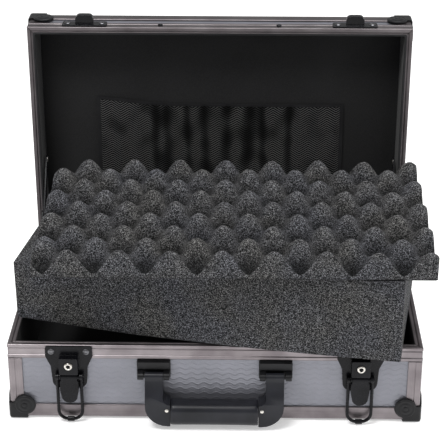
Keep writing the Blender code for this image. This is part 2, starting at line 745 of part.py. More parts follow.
def lock_cylinder(side, x):
    """Key cylinder that turns in the housing, with a key slot."""
    front_y = LATCH_FACE_Y - PLATE_THICK - 7.6 * MM
    key = (x, LOCK_Z)
    cylinder = rod(f"lock_cylinder_{side}", "Y", key, LOCK_RADIUS, front_y, front_y + 5 * MM, "nickel", 24)
    slot = block(
        f"lock_{side}_slot_guide",
        (x - 0.6 * MM, front_y - MM, LOCK_Z - 3 * MM),
        (x + 0.6 * MM, front_y + 2.5 * MM, LOCK_Z + 3 * MM),
        "nickel",
    )
    return cut(cylinder, slot)


def build_latches():
    for side, sign in sides():
        x = sign * LATCH_X
        latch_plate(side, x)
        axis = pivot(f"latch_pivot_{side}", Vector((x, LATCH_AXIS.y, LATCH_AXIS.z)))
        hang([latch_lever(side, x), latch_bail(side, x)], axis)
        lock_pivot = pivot(f"lock_pivot_{side}", Vector((x, LATCH_FACE_Y, LOCK_Z)))
        hang([lock_cylinder(side, x)], lock_pivot)


# ---------------------------------------------------------------- foam

def foam_block():
    """Thick block lying across the rim, its underside curled up at the left end."""
    half = BLOCK_SIZE / 2
    steps = 6
    run = BLOCK_CURL_PART * BLOCK_SIZE.x
    underside, top = [], []
    for i in range(steps + 1):
        part = i / steps
        x = -half.x + part * run
        underside.append((x, BLOCK_CURL * (1 - part) ** 2))
        top.append((x, BLOCK_SIZE.z - BLOCK_SAG * (1 - part) ** 2))
    outline = underside + [(half.x, 0), (half.x, BLOCK_SIZE.z)] + top[::-1]
    made = prism("foam_block", outline, "Y", -half.y, half.y, "foam")
    made.location = BLOCK_CENTRE + Vector((0, 0, FOAM_REST_Z))
    made.rotation_euler = (0, 0, BLOCK_YAW)


def egg_foam():
    """Outer shape of the egg-crate sheet on top of the block."""
    half = EGG_SIZE / 2
    low_z = FOAM_REST_Z + BLOCK_SIZE.z + GAP
    made = block("egg_foam", (-half.x, -half.y, 0), (half.x, half.y, EGG_SIZE.z), "foam")
    made.location = EGG_CENTRE + Vector((0, 0, low_z))


def centre_origin():
    """Moves everything so that the origin lies under the middle of the whole object's box."""
    graph = bpy.context.evaluated_depsgraph_get()
    points = []
    for piece in bpy.data.objects:
        if piece.type == "MESH" and not piece.hide_render:
            shown = piece.evaluated_get(graph)
            points += [shown.matrix_world @ Vector(corner) for corner in shown.bound_box]
    middle = [(min(p[i] for p in points) + max(p[i] for p in points)) / 2 for i in (0, 1)]
    case = pivot("case_origin", Vector((0, 0, 0)))
    for piece in list(bpy.data.objects):
        if piece.parent is None and piece is not case:
            piece.parent = case
    case.location = (-middle[0], -middle[1], 0)


def main():
    for old in list(bpy.data.objects):
        bpy.data.objects.remove(old)
    build_base()
    build_lid()
    build_stays()
    build_handle()
    build_latches()
    foam_block()
    egg_foam()
    centre_origin()


main()
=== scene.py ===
"""Looks of the hard equipment case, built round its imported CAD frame. Metres, +Z up."""
import json
import math
import random

import bmesh
import bpy
import numpy as np
from mathutils import Matrix, Vector, noise


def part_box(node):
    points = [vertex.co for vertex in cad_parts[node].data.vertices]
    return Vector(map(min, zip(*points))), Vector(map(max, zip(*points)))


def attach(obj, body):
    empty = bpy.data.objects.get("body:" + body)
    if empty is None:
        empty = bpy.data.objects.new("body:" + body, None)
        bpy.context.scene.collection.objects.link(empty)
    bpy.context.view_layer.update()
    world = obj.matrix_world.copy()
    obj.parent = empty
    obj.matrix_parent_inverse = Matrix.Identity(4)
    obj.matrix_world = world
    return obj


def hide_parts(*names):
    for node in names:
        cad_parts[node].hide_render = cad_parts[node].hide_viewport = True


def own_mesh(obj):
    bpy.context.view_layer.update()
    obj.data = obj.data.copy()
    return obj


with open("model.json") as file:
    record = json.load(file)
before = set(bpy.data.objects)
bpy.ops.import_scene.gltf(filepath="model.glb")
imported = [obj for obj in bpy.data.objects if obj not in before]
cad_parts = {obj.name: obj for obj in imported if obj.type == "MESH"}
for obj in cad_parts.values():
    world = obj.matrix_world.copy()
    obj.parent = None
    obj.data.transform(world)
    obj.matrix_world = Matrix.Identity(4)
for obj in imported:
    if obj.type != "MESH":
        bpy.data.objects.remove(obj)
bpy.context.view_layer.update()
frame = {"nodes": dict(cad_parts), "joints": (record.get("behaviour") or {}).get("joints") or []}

MM = 0.001
TINY = 1e-9                       # shorter than this counts as nothing

# The case body's own frame: the middle of its floor, its hinge and how far the lid is open at rest
pad_low, pad_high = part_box("base_floor_pad")
CENTRE = Vector(((pad_low.x + pad_high.x) / 2, (pad_low.y + pad_high.y) / 2, 0))
LID_JOINT = next(j for j in frame["joints"] if j["name"] == "lid_hinge")
HINGE = Vector(LID_JOINT["pos_m"])
LID_OPEN = math.radians(LID_JOINT["range_deg"][1])
OPEN_LID = Matrix.Translation(HINGE) @ Matrix.Rotation(-LID_OPEN, 4, "X") @ Matrix.Translation(-HINGE)
BASE_PLACE = Matrix.Translation(CENTRE)
LID_PLACE = OPEN_LID @ BASE_PLACE  # puts a piece drawn on the closed lid where the open lid is
WORLD_PLACE = Matrix.Identity(4)   # for a piece that is drawn where it stands

HALF_WIDTH = 185 * MM
HALF_DEPTH = 108.5 * MM
FOOT = 1.8 * MM                   # how far the corner caps stand out of the case
RIM_Z = 77 * MM                   # top of the base's rim
LID_RIM_Z = 77.6 * MM             # underside of the closed lid's rim
LID_TOP_Z = LID_RIM_Z + 38.2 * MM
RIM_WIDTH = 7 * MM
LATCH_X = 130 * MM
SIDES = (("left", -1), ("right", 1))
ENDS = (("front", -1), ("back", 1))


# ---------------------------------------------------------------- materials

class Shade:
    """A Principled material with short calls for the nodes that every finish uses."""

    def __init__(self, name, colour, roughness, metallic=0.0, specular=0.5):
        self.material = bpy.data.materials.new(name)
        self.material.use_nodes = True
        self.nodes = self.material.node_tree.nodes
        self.links = self.material.node_tree.links
        self.shader = self.nodes["Principled BSDF"]
        self.set("Base Color", (*colour, 1))
        self.set("Roughness", roughness)
        self.set("Metallic", metallic)
        self.set("Specular IOR Level", specular)
        self.place = self.nodes.new("ShaderNodeTexCoord").outputs["Object"]

    def set(self, socket, value):
        self.shader.inputs[socket].default_value = value

    def link(self, source, target):
        self.links.new(source, target)

    def stretch(self, scale):
        """Object coordinates scaled differently along each axis."""
        node = self.nodes.new("ShaderNodeMapping")
        node.inputs["Scale"].default_value = scale
        self.link(self.place, node.inputs["Vector"])
        return node.outputs["Vector"]

    def noise(self, scale, detail=3.0, vector=None, roughness=0.5):
        node = self.nodes.new("ShaderNodeTexNoise")
        node.inputs["Scale"].default_value = scale
        node.inputs["Detail"].default_value = detail
        node.inputs["Roughness"].default_value = roughness
        self.link(vector or self.place, node.inputs["Vector"])
        return node.outputs["Fac"]

    def voronoi(self, scale):
        node = self.nodes.new("ShaderNodeTexVoronoi")
        node.inputs["Scale"].default_value = scale
        self.link(self.place, node.inputs["Vector"])
        return node.outputs

    def cells(self, scale):
        """How far it is to the middle of the small cell."""
        return self.voronoi(scale)["Distance"]

    def grains(self, scale):
        """A random grey for each small cell."""
        return self.split(self.voronoi(scale)["Color"])[0]

    def attribute(self, name):
        """A value kept at each vertex of the piece."""
        node = self.nodes.new("ShaderNodeAttribute")
        node.attribute_name = name
        return node.outputs["Fac"]

    def math(self, operation, *values):
        node = self.nodes.new("ShaderNodeMath")
        node.operation = operation
        for socket, value in zip(node.inputs, values):
            if isinstance(value, (int, float)):
                socket.default_value = value
            else:
                self.link(value, socket)
        return node.outputs[0]

    def split(self, vector=None):
        node = self.nodes.new("ShaderNodeSeparateXYZ")
        self.link(vector or self.place, node.inputs[0])
        return node.outputs

    def ramp(self, factor, *stops):
        """Colours along a factor; each stop is (position, grey or colour)."""
        node = self.nodes.new("ShaderNodeValToRGB")
        self.link(factor, node.inputs["Fac"])
        elements = node.color_ramp.elements
        while len(elements) < len(stops):
            elements.new(0.5)
        for element, (position, colour) in zip(elements, stops):
            if isinstance(colour, (int, float)):
                colour = (colour,) * 3
            element.position = position
            element.color = (*colour, 1)
        return node.outputs["Color"]

    def mix(self, factor, one, two, blend="MIX"):
        node = self.nodes.new("ShaderNodeMix")
        node.data_type = "RGBA"
        node.blend_type = blend
        factor_socket, one_socket, two_socket = (node.inputs[k] for k in (0, 6, 7))
        for socket, value in ((factor_socket, factor), (one_socket, one), (two_socket, two)):
            if isinstance(value, (int, float)):
                socket.default_value = value
            elif isinstance(value, tuple):
                socket.default_value = (*value, 1)
            else:
                self.link(value, socket)
        return node.outputs[2]  # the colour result

    def colour(self, source):
        self.link(source, self.shader.inputs["Base Color"])

    def rough(self, source, low, high):
        node = self.nodes.new("ShaderNodeMapRange")
        node.inputs["To Min"].default_value = low
        node.inputs["To Max"].default_value = high
        self.link(source, node.inputs["Value"])
        self.link(node.outputs["Result"], self.shader.inputs["Roughness"])

    def bump(self, height, strength, distance):
        node = self.nodes.new("ShaderNodeBump")
        node.inputs["Strength"].default_value = strength
        node.inputs["Distance"].default_value = distance
        self.link(height, node.inputs["Height"])
        last = self.shader.inputs["Normal"].links
        if last:
            self.link(last[0].from_socket, node.inputs["Normal"])
        self.link(node.outputs["Normal"], self.shader.inputs["Normal"])


def aluminium(name, along, tone=1.0):
    """Anodised extrusion with fine drawing lines along its length. A tone below 1 makes a darker copy of
    it: painted shade.
    """
    shade = Shade(name, (0.30, 0.27, 0.27), 0.36, 0.92)
    fine = [2600.0, 2600.0, 2600.0]
    fine[along] = 14.0
    lines = shade.noise(1.0, 2.0, shade.stretch(fine))
    patches = shade.noise(38.0, 3.0)
    # a tone below 1 darkens the whole metal as painted shade
    dull, clean = ([tone * c for c in colour] for colour in ((0.165, 0.145, 0.152), (0.29, 0.262, 0.27)))
    worn = shade.ramp(patches, (0.3, dull), (0.75, clean))
    streaks = shade.ramp(lines, (0.35, 0.86), (0.65, 1.0))
    shade.colour(shade.mix(1.0, worn, streaks, "MULTIPLY"))
    shade.rough(lines, 0.3, 0.46)
    shade.bump(lines, 0.12, 0.05 * MM)
    return shade.material


def embossed_panel(name, across, up):
    """Bluish sheet with shallow rows of pressed waves, by the two axes it lies along."""
    wave_length, wave_swing, row_pitch = 11 * MM, 1.1 * MM, 5.2 * MM
    shade = Shade(name, (0.2, 0.21, 0.24), 0.42, 0.55)
    axes = shade.split()
    wave = shade.math("SINE", shade.math("MULTIPLY", axes[across], 2 * math.pi / wave_length))
    lifted = shade.math("ADD", axes[up], shade.math("MULTIPLY", wave, wave_swing))
    rows = shade.math("SINE", shade.math("MULTIPLY", lifted, 2 * math.pi / row_pitch))
    ridges = shade.math("SMOOTH_MAX", rows, 0.25, 0.3)
    grain = shade.noise(1500.0, 3.0)
    tone = shade.ramp(shade.noise(24.0, 3.0), (0.3, (0.175, 0.178, 0.205)), (0.7, (0.225, 0.228, 0.262)))
    shade.colour(shade.mix(0.12, tone, shade.ramp(grain, (0.35, 0.10), (0.65, 0.42))))
    shade.rough(grain, 0.34, 0.5)
    shade.bump(ridges, 0.75, 0.3 * MM)
    shade.bump(grain, 0.25, 0.05 * MM)
    return shade.material


def black_plastic(name, colour, roughness):
    """Moulded plastic with a fine pebble grain and lighter rubbed patches."""
    shade = Shade(name, colour, roughness, 0.0, 0.24)
    grain = shade.noise(1900.0, 2.0)
    dull = tuple(c * 0.8 for c in colour)
    rubbed = tuple(c * 1.45 for c in colour)
    shade.colour(shade.ramp(shade.noise(55.0, 4.0), (0.35, dull), (0.72, rubbed)))
    shade.rough(grain, roughness - 0.07, roughness + 0.1)
    shade.bump(grain, 0.3, 0.06 * MM)
    return shade.material


def black_metal(name):
    """Black coated steel, a little uneven in tone."""
    shade = Shade(name, (0.005, 0.005, 0.006), 0.24, 0.0, 0.16)
    grain = shade.noise(900.0, 3.0)
    patches = shade.noise(70.0, 4.0)
    shade.colour(shade.ramp(patches, (0.35, (0.003, 0.003, 0.004)), (0.75, (0.008, 0.008, 0.01))))
    shade.rough(grain, 0.18, 0.34)
    shade.bump(grain, 0.15, 0.04 * MM)
    return shade.material


def bright_metal(name, colour=(0.72, 0.69, 0.64), roughness=0.2):
    """Nickel-plated steel with faint scuffs."""
    shade = Shade(name, colour, roughness, 1.0)
    scuffs = shade.noise(240.0, 5.0, shade.stretch((1.0, 6.0, 6.0)))
    dull = tuple(c * 0.8 for c in colour)
    shade.colour(shade.ramp(scuffs, (0.4, dull), (0.62, colour)))
    shade.rough(scuffs, roughness, roughness + 0.18)
    shade.bump(scuffs, 0.08, 0.03 * MM)
    return shade.material


def felt(name):
    """Black laminated lining with a short nap."""
    shade = Shade(name, (0.011, 0.011, 0.012), 0.95, 0.0, 0.2)
    nap = shade.noise(1400.0, 4.0, roughness=0.7)
    cloudy = shade.noise(16.0, 4.0)
    tone = shade.ramp(cloudy, (0.3, (0.0085, 0.0085, 0.009)), (0.75, (0.0155, 0.0155, 0.0165)))
    shade.colour(shade.mix(0.35, tone, shade.ramp(nap, (0.4, 0.004), (0.65, 0.03))))
    shade.bump(nap, 0.6, 0.25 * MM)
    shade.set("Sheen Weight", 0.08)
    shade.set("Sheen Roughness", 0.6)
    return shade.material


def open_foam(name, with_painted_light=False):
    """Charcoal open-cell foam, speckled with pores. With painted light, it gets painted shade where the
    attribute rise is low and painted light where it is high.
    """
    shade = Shade(name, (0.06, 0.06, 0.064), 0.97, 0.0, 0.12)
    pores = shade.cells(1250.0)
    speckle = shade.grains(1750.0)
    clouds = shade.noise(22.0, 2.0)
    tint = shade.ramp(clouds, (0.36, (0.058, 0.059, 0.065)), (0.64, (0.062, 0.061, 0.060)))
    salt = shade.ramp(speckle, (0.15, 0.10), (0.55, 0.7), (0.95, 3.9))
    holes = shade.ramp(pores, (0.15, 1.25), (0.6, 0.5))
    tone = shade.mix(1.0, shade.mix(1.0, tint, salt, "MULTIPLY"), holes, "MULTIPLY")
    if with_painted_light:
        # painted light: painted shade in the valleys where rise is low, lighter peaks and cut edges where
        # it is high
        lit = shade.ramp(shade.attribute("rise"), (0.0, 0.14), (0.3, 0.34), (0.62, 0.8), (1.0, 1.2))
        tone = shade.mix(1.0, tone, lit, "MULTIPLY")
    shade.colour(tone)
    shade.bump(speckle, 0.6, 0.7 * MM)
    shade.bump(pores, -0.4, 0.5 * MM)
    return shade.material


def zigzag_mesh(name):
    """Elastic mesh in a fine zigzag knit, with painted shade in the creases of its gathers, where the
    attribute fold is low.
    """
    start = 1.0                       # keeps the zigzag's coordinate above zero
    half_wave, slope, row_pitch = 9 * MM, 0.62, 2.4 * MM
    shade = Shade(name, (0.02, 0.02, 0.022), 0.75, 0.0, 0.08)
    axes = shade.split()
    saw = shade.math("PINGPONG", shade.math("ADD", axes[0], start), half_wave)
    lifted = shade.math("ADD", axes[1], shade.math("MULTIPLY", saw, slope))
    rows = shade.math("SINE", shade.math("MULTIPLY", lifted, 2 * math.pi / row_pitch))
    knots = shade.noise(900.0, 2.0)
    thread = shade.math("ADD", rows, shade.math("MULTIPLY", knots, 0.9))
    knit = shade.ramp(thread, (0.5, 0.001), (0.82, 0.005), (1.0, 0.085))
    # painted shade in the creases of the gathers, from the fold values
    gathers = shade.ramp(shade.attribute("fold"), (0.0, 0.06), (0.5, 0.45), (1.0, 1.25))
    shade.colour(shade.mix(1.0, knit, gathers, "MULTIPLY"))
    shade.bump(thread, 0.7, 0.35 * MM)
    return shade.material


# ---------------------------------------------------------------- mesh helpers

SHARP_ANGLE = 35.0                # degrees between faces, from which an edge counts as sharp
FLAT_ANGLE = 1.0                  # and below which the two faces count as one
WELD_REACH = 0.01 * MM


def piece(name, bm, finish, body, place=None, smooth=SHARP_ANGLE):
    """Turns a bmesh into a named piece that rides on a body."""
    bmesh.ops.recalc_face_normals(bm, faces=bm.faces)
    mesh = bpy.data.meshes.new(name)
    bm.to_mesh(mesh)
    bm.free()
    mesh.shade_smooth()
    mesh.set_sharp_from_angle(angle=math.radians(smooth))
    made = bpy.data.objects.new(name, mesh)
    bpy.context.scene.collection.objects.link(made)
    mesh.materials.append(finish)
    made.matrix_world = place or BASE_PLACE
    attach(made, body)
    return made


def from_arrays(points, faces):
    """A bmesh from points and faces."""
    mesh = bpy.data.meshes.new("draft")
    mesh.from_pydata([tuple(p) for p in points], [], [tuple(f) for f in faces])
    bm = bmesh.new()
    bm.from_mesh(mesh)
    bpy.data.meshes.remove(mesh)
    return bm


def facing(centre, direction):
    """A matrix that stands a turned shape at a point with its axis along a direction."""
    turn = Vector(direction).to_track_quat("Z", "Y").to_matrix().to_4x4()
    return Matrix.Translation(Vector(centre)) @ turn


def lathe(bm, profile, place, segments=28):
    """Adds a turned solid. The profile is (radius, height) from its foot to its middle."""
    rings = []
    for radius, height in profile:
        if radius < TINY:
            rings.append([bm.verts.new(place @ Vector((0, 0, height)))])
            continue
        ring = []
        for k in range(segments):
            angle = 2 * math.pi * k / segments
            spoke = Vector((radius * math.cos(angle), radius * math.sin(angle), height))
            ring.append(bm.verts.new(place @ spoke))
        rings.append(ring)
    for low, high in zip(rings, rings[1:]):
        for k in range(segments):
            j = (k + 1) % segments
            if len(high) == 1:
                bm.faces.new((low[k], low[j], high[0]))
            else:
                bm.faces.new((low[k], low[j], high[j], high[k]))
    if len(rings[0]) > 1:
        bm.faces.new(list(reversed(rings[0])))


def slab(bm, low, high, bevel):
    """Adds a box with rounded edges."""
    low, high = Vector(low), Vector(high)
    place = Matrix.Translation((low + high) / 2) @ Matrix.Diagonal((*(high - low), 1))
    made = bmesh.ops.create_cube(bm, size=1.0, matrix=place)
    edges = list(dict.fromkeys(e for v in made["verts"] for e in v.link_edges))
    bmesh.ops.bevel(bm, geom=edges, offset=bevel, segments=3, profile=0.5, affect="EDGES")


def arc(centre, radius, start, end, steps):
    """Points along part of a circle, between two angles in degrees."""
    points = []
    for i in range(steps + 1):
        angle = math.radians(start + (end - start) * i / steps)
        points.append((centre[0] + radius * math.cos(angle), centre[1] + radius * math.sin(angle)))
    return points


def rounded(half_x, half_y, radius, steps=6):
    """Outline of a rectangle with round corners, round the origin."""
    points = []
    for sx, sy, start in ((1, 1, 0), (-1, 1, 90), (-1, -1, 180), (1, -1, 270)):
        centre = (sx * (half_x - radius), sy * (half_y - radius))
        points += arc(centre, radius, start, start + 90, steps)
    return points


def band(bm, outer, thick, low, high):
    """Adds an upright strip of even thickness round an outline, like a lining or a seal."""
    half_x = max(abs(x) for x, y in outer)
    half_y = max(abs(y) for x, y in outer)
    loops = []
    for shrink, z in ((0, low), (0, high), (thick, high), (thick, low)):
        scale_x, scale_y = 1 - shrink / half_x, 1 - shrink / half_y
        loops.append([bm.verts.new((x * scale_x, y * scale_y, z)) for x, y in outer])
    for one, two in zip(loops, loops[1:] + loops[:1]):
        for k in range(len(outer)):
            j = (k + 1) % len(outer)
            bm.faces.new((one[k], one[j], two[j], two[k]))


def grid_lines(half, radius, step):
    """Coordinates across a soft box, closer together near its rounded edges."""
    flat = half - radius
    count = max(2, round(2 * flat / step))
    inner = list(np.linspace(-flat, flat, count + 1))
    edge = [radius * part for part in (1.0, 0.6, 0.25)]
    return [-flat - e for e in edge] + inner + [flat + e for e in reversed(edge)]


def soft_box(half, radius, step):
    """Points and faces of a box with rounded edges, as a fine grid that can be bent."""
    lines = [grid_lines(h, radius, step) for h in half]
    last = [len(line) - 1 for line in lines]
    index, points, faces = {}, [], []

    def corner(key):
        if key not in index:
            place = np.array([lines[axis][key[axis]] for axis in range(3)])
            inside = np.clip(place, [radius - h for h in half], [h - radius for h in half])
            out = place - inside
            length = np.linalg.norm(out)
            index[key] = len(points)
            points.append(inside + out / length * radius if length > TINY else place)
        return index[key]

    for axis in range(3):
        a, b = [k for k in range(3) if k != axis]
        for side in (0, last[axis]):
            for i in range(last[a]):
                for j in range(last[b]):
                    keys = []
                    for di, dj in ((0, 0), (1, 0), (1, 1), (0, 1)):
                        key = [0, 0, 0]
                        key[axis], key[a], key[b] = side, i + di, j + dj
                        keys.append(tuple(key))
                    faces.append([corner(key) for key in keys])
    return np.array(points), faces


def ripple(point, scale, height, seed):
    """Smooth unevenness up to about a height, from Perlin noise."""
    return height * noise.noise(Vector(point) * scale + Vector((seed, 0, 0)))


def keep_values(made, name, values):
    """Stores a value at each vertex of a piece for its finish to read."""
    kept = made.data.attributes.new(name, "FLOAT", "POINT")
    kept.data.foreach_set("value", values)


def dress(node, finish, bevel):
    """Gives a CAD node its finish, and rounds its sharp edges."""
    target = frame["nodes"][node]
    target.data.materials.clear()
    target.data.materials.append(finish)
    target.data.normals_split_custom_set([(0, 0, 0)] * len(target.data.loops))
    target.data.shade_smooth()
    weld = target.modifiers.new("weld", "WELD")
    weld.merge_threshold = WELD_REACH
    clean = target.modifiers.new("flat faces", "DECIMATE")
    clean.decimate_type = "DISSOLVE"
    clean.angle_limit = math.radians(FLAT_ANGLE)
    soften = target.modifiers.new("soft edges", "BEVEL")
    soften.width = bevel
    soften.segments = 2
    soften.limit_method = "ANGLE"
    soften.angle_limit = math.radians(SHARP_ANGLE)
    soften.use_clamp_overlap = True
    shading = target.modifiers.new("even shading", "WEIGHTED_NORMAL")
    shading.weight = 90


# ---------------------------------------------------------------- stage

FLOOR_REACH = 6.0
FLOOR_DROP = 0.05 * MM
FLOOR_GLOW = 0.36
WORLD_STRENGTH = 0.40
# Each light's place, the point it faces, the length of its side and its power
LIGHTS = {
    "key_light": ((-0.6, -0.9, 2.1), (0, 0, 0.12), 0.8, 31),
    "top_light": ((0.3, 0.1, 2.0), (0, 0, 0.1), 0.9, 23),
    "fill_light": ((1.7, -0.3, 0.8), (0, 0, 0.1), 1.2, 14),
}


def make_floor():
    """Pale floor with a glow of its own, far wider than the view."""
    shade = Shade("stage_floor", (0.93, 0.93, 0.93), 0.75, 0.0, 0.2)
    shade.set("Emission Color", (1, 1, 1, 1))
    shade.set("Emission Strength", FLOOR_GLOW)
    mesh = bpy.data.meshes.new("floor")
    signs = ((-1, -1), (1, -1), (1, 1), (-1, 1))
    mesh.from_pydata([(sx * FLOOR_REACH, sy * FLOOR_REACH, 0) for sx, sy in signs], [], [(0, 1, 2, 3)])
    floor = bpy.data.objects.new("floor", mesh)
    floor.location.z = -FLOOR_DROP
    mesh.materials.append(shade.material)
    bpy.context.scene.collection.objects.link(floor)


def make_world():
    """Even white light from all round."""
    world = bpy.data.worlds.new("studio")
    bpy.context.scene.world = world
    world.use_nodes = True
    backdrop = world.node_tree.nodes.get("Background")
    if backdrop is None:
        backdrop = world.node_tree.nodes.new("ShaderNodeBackground")
        output = world.node_tree.nodes.new("ShaderNodeOutputWorld")
        world.node_tree.links.new(backdrop.outputs[0], output.inputs[0])
    backdrop.inputs["Color"].default_value = (1.0, 1.0, 1.0, 1)
    backdrop.inputs["Strength"].default_value = WORLD_STRENGTH


def softbox(name, place, target, size, power):
    """Square light that faces a point."""
    light = bpy.data.lights.new(name, "AREA")
    light.shape = "SQUARE"
    light.size = size
    light.energy = power
    lamp = bpy.data.objects.new(name, light)
    lamp.matrix_world = facing(place, Vector(place) - Vector(target))
    bpy.context.scene.collection.objects.link(lamp)


CAMERA_PITCH = math.radians(25.6)
CAMERA_YAW = math.radians(1.1)
CAMERA_DISTANCE = 1311 * MM
RIM_RIGHT = -5.2 * MM             # how far the front rim's middle is right of the view's middle
RIM_ABOVE = -114.8 * MM           # and how far above it
FOCAL_LENGTH = 120.7
SENSOR_WIDTH = 36


def make_camera():
    """Looks down at the front rim from a little right of straight on."""
    level = math.cos(CAMERA_PITCH)
    forward = Vector((-math.sin(CAMERA_YAW) * level, math.cos(CAMERA_YAW) * level, -math.sin(CAMERA_PITCH)))
    right = Vector((math.cos(CAMERA_YAW), math.sin(CAMERA_YAW), 0))
    above = right.cross(forward)
    rim = CENTRE + Vector((0, -HALF_DEPTH, RIM_Z))
    place = rim - forward * CAMERA_DISTANCE - right * RIM_RIGHT - above * RIM_ABOVE
    lens = bpy.data.cameras.new("camera")
    lens.lens = FOCAL_LENGTH
    lens.sensor_width = SENSOR_WIDTH
    camera = bpy.data.objects.new("camera", lens)
    turn = Matrix((right, above, -forward)).transposed().to_4x4()
    camera.matrix_world = Matrix.Translation(place) @ turn
    bpy.context.scene.collection.objects.link(camera)
    bpy.context.scene.camera = camera


def make_stage():
    """Floor, lights and camera."""
    make_floor()
    make_world()
    for name, values in LIGHTS.items():
        softbox(name, *values)
    make_camera()


# ---------------------------------------------------------------- finishes of the CAD nodes

FRAME_ROUND = 0.35 * MM           # how far each kind of edge is rounded
PANEL_ROUND = 0.2 * MM
POST_ROUND = 0.25 * MM
CAP_ROUND = 0.6 * MM
FLAT_ROUND = 0.3 * MM


def dress_frame(finish):
    """Extrusions, panels, posts and caps of the base and the lid."""
    for wall in ("front", "back", "left", "right"):
        across = wall in ("front", "back")
        metal = finish["metal_across" if across else "metal_deep"]
        dress(f"base_rim_{wall}", metal, FRAME_ROUND)
        dress(f"base_edge_{wall}", metal, FRAME_ROUND)
        dress(f"lid_rim_{wall}", finish["lid_across_painted_shade" if across else "lid_tall_painted_shade"], FRAME_ROUND)
        dress(f"base_panel_{wall}", finish["panel_front" if across else "panel_side"], PANEL_ROUND)
        dress(f"lid_panel_{wall}", finish["panel_flat" if across else "panel_side"], PANEL_ROUND)
    dress("base_panel_bottom", finish["panel_flat"], PANEL_ROUND)
    dress("lid_panel_top", finish["panel_front"], PANEL_ROUND)
    dress("lid_top_frame", finish["lid_across_painted_shade"], FLAT_ROUND)
    dress("base_floor_pad", finish["felt"], FLAT_ROUND)
    for end, _ in ENDS:
        for side, _ in SIDES:
            dress(f"base_post_{end}_{side}", finish["metal_tall"], POST_ROUND)
            dress(f"base_cap_{end}_{side}", finish["cap"], CAP_ROUND)
            dress(f"lid_cap_{end}_{side}", finish["cap"], CAP_ROUND)


# The finish of each piece that comes in a left and a right, and how far its edges are rounded
PAIRED = {
    "latch_plate": ("black", 0.4 * MM),
    "latch_lever": ("black", 0.7 * MM),
    "latch_bail": ("black", 0.3 * MM),
    "strike": ("black", 0.5 * MM),
    "lock_cylinder": ("nickel", 0.5 * MM),
    "handle_bracket": ("cap", 0.7 * MM),
    "handle_arm": ("rubber", 2.2 * MM),
    "stay_lower": ("black", 0.3 * MM),
    "stay_upper": ("black", 0.3 * MM),
}


def dress_hardware(finish):
    """Latches, handle, stays and hinge."""
    for side, _ in SIDES:
        for node, (look, bevel) in PAIRED.items():
            dress(f"{node}_{side}", finish[look], bevel)
    dress("hinge_base_leaf", finish["steel"], FLAT_ROUND)
    dress("hinge_lid_leaf", finish["steel"], FLAT_ROUND)


# ---------------------------------------------------------------- lining and pocket

LINING_THICK = 0.5 * MM
LINING_GAP = 0.02 * MM            # between the lining and the wall behind it
LINING_FOOT = 6.9 * MM
LID_LINING_END = 111.0 * MM
LID_TOP_LINING = (110.3 * MM, 110.95 * MM)
LID_TOP_LINING_INSET = 7.8 * MM
SEAL_OUT = 1.6 * MM               # how far the seal lies under the rim
SEAL_WIDTH = 1.8 * MM


def strip_round(name, outline, thick, heights, finish, body, place=None):
    """A piece made of one upright strip round an outline."""
    bm = bmesh.new()
    band(bm, outline, thick, *heights)
    piece(name, bm, finish, body, place)


def make_linings(finish):
    """Black lining round the inside of the base and the lid, and over the lid's top."""
    inside_x, inside_y = HALF_WIDTH - RIM_WIDTH, HALF_DEPTH - RIM_WIDTH
    outline = rounded(inside_x - LINING_GAP, inside_y - LINING_GAP, 1.2 * MM, 4)
    heights = (LINING_FOOT, RIM_Z - 1.1 * MM)
    strip_round("base_lining", outline, LINING_THICK, heights, finish["felt"], "base")
    heights = (LID_RIM_Z + 0.9 * MM, LID_LINING_END)
    strip_round("lid_lining", outline, LINING_THICK, heights, finish["felt"], "lid", LID_PLACE)
    bm = bmesh.new()
    half_x, half_y = HALF_WIDTH - LID_TOP_LINING_INSET, HALF_DEPTH - LID_TOP_LINING_INSET
    low, high = LID_TOP_LINING
    slab(bm, (-half_x, -half_y, low), (half_x, half_y, high), 0.2 * MM)
    piece("lid_top_lining", bm, finish["felt"], "lid", LID_PLACE)
    outline = rounded(inside_x + SEAL_OUT, inside_y + SEAL_OUT, 2.0 * MM, 4)
    heights = (LID_RIM_Z - 0.25 * MM, LID_RIM_Z + 0.15 * MM)
    strip_round("lid_seal", outline, SEAL_WIDTH, heights, finish["seal"], "lid", LID_PLACE)


POCKET_HALF = 123 * MM
POCKET_BOTTOM = 96.5 * MM
POCKET_PANEL_Z = 110.2 * MM       # the lining that the pocket lies on
POCKET_MOUTH = -18 * MM
POCKET_STEPS = (220, 84)
CLOTH_THICK = 0.5 * MM
HEM_WIDTH = 2.6 * MM
BAND_WIDTH = 3.6 * MM
WEBBING_THICK = 0.9 * MM
FOLDS_START, FOLDS_END = -66 * MM, 84 * MM
FOLD_LEAN = 100 * MM              # a gather's sideways run up the pocket, for a lean of 1


def pocket_mouth(x):
    """The pocket's elastic edge: level, but pulled up at its left end."""
    return POCKET_MOUTH - 6.5 * MM * math.exp(-(((x + POCKET_HALF) / (45 * MM)) ** 2))


def pocket_folds():
    """Places, widths, depths and leans of the upright gathers."""
    rng = random.Random(7)
    folds = []
    x = FOLDS_START
    while x < FOLDS_END:
        folds.append((x, rng.uniform(3.2, 5.5) * MM, rng.uniform(1.4, 2.6) * MM, rng.uniform(-0.06, 0.06)))
        x += rng.uniform(16, 25) * MM
    return folds


def pocket_height(x, part, folds):
    """How far the mesh stands off the panel at a place across and up the pocket."""
    edge = max(0.0, 1 - (abs(x) / POCKET_HALF) ** 6)
    swell = (3.0 + 2.6 * math.sin(math.pi * min(1.0, 0.25 + 0.75 * part))) * MM * edge
    height = 0.7 * MM + swell * min(1.0, 0.15 + 2.2 * part)
    for centre, width, depth, lean in folds:
        offset = (x - centre - lean * part * FOLD_LEAN) / width
        height -= depth * math.exp(-offset * offset) * (0.25 + 0.75 * part) * edge
    height += ripple((x, part * 0.1, 0), 45.0, 0.35 * MM, 3.0) * edge
    return max(0.5 * MM, height)


